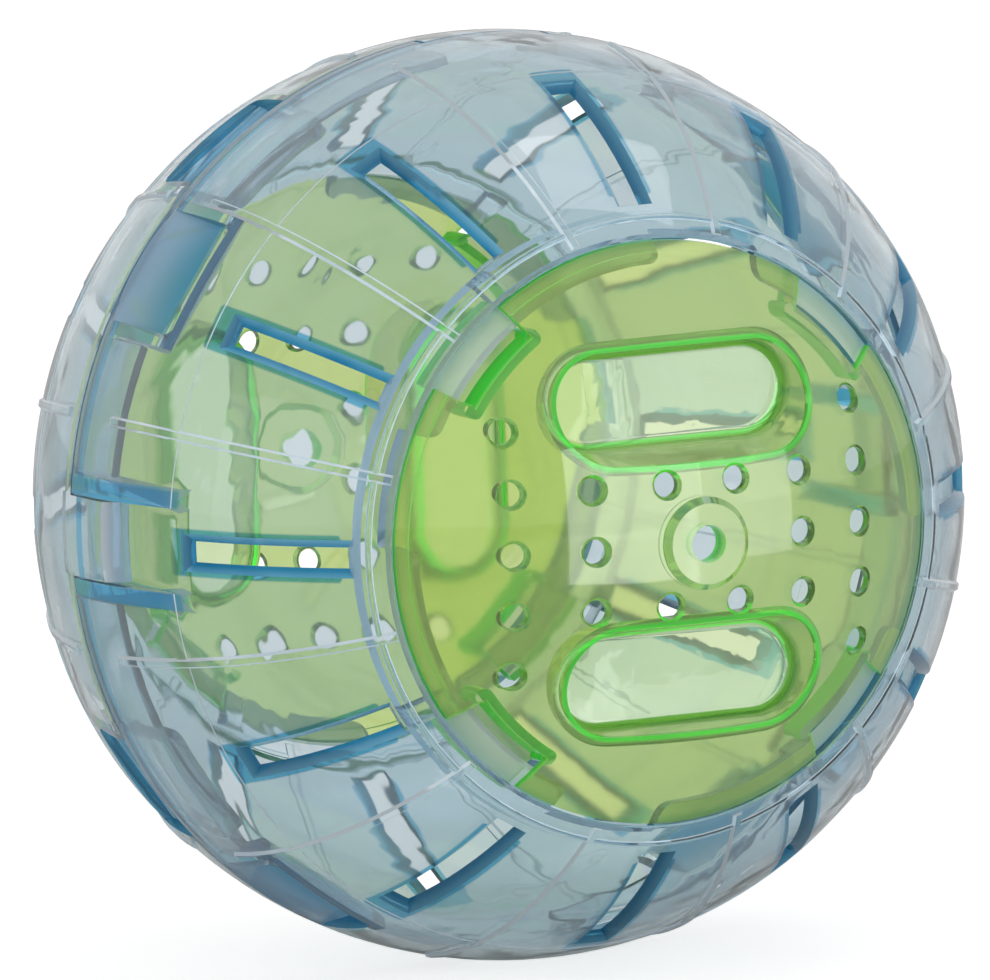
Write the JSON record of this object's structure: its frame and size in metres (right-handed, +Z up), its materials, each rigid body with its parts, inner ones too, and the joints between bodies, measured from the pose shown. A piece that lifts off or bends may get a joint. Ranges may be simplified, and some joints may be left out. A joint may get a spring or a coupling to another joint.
{
  "type": "hamster ball",
  "caption": "Small clear exercise ball for a mouse or dwarf hamster: slotted half shells that part at the middle, with domed bayonet doors, finger pockets and axle holes.",
  "frame": {"origin": "middle of the ball, where its axis meets the plane of the seam", "axes": "Y is the axis through both doors, with the front door on -Y; +Z up; +X to the right as seen from the front"},
  "size_m": [0.12, 0.1216, 0.12],
  "materials": {
    "shell_clear_blue": "clear gloss",
    "cap_clear_green": "clear gloss"
  },
  "bodies": {
    "rear_shell": {"rear_half": "shell_clear_blue"},
    "front_shell": {"front_half": "shell_clear_blue"},
    "front_door": {"front_cap": "cap_clear_green"},
    "rear_door": {"rear_cap": "cap_clear_green"}
  },
  "joints": [
    {"name": "halves_apart", "type": "slide", "parent": "rear_shell", "child": "front_shell", "axis": [0, -1, 0], "range_m": [0, 0.04]},
    {"name": "front_door_turn", "type": "hinge", "parent": "front_shell", "child": "front_door", "pos_m": [0, -0.0465, 0], "axis": [0, -1, 0], "range_deg": [0, 31]},
    {"name": "rear_door_turn", "type": "hinge", "parent": "rear_shell", "child": "rear_door", "pos_m": [0, 0.0465, 0], "axis": [0, 1, 0], "range_deg": [0, 31]}
  ]
}
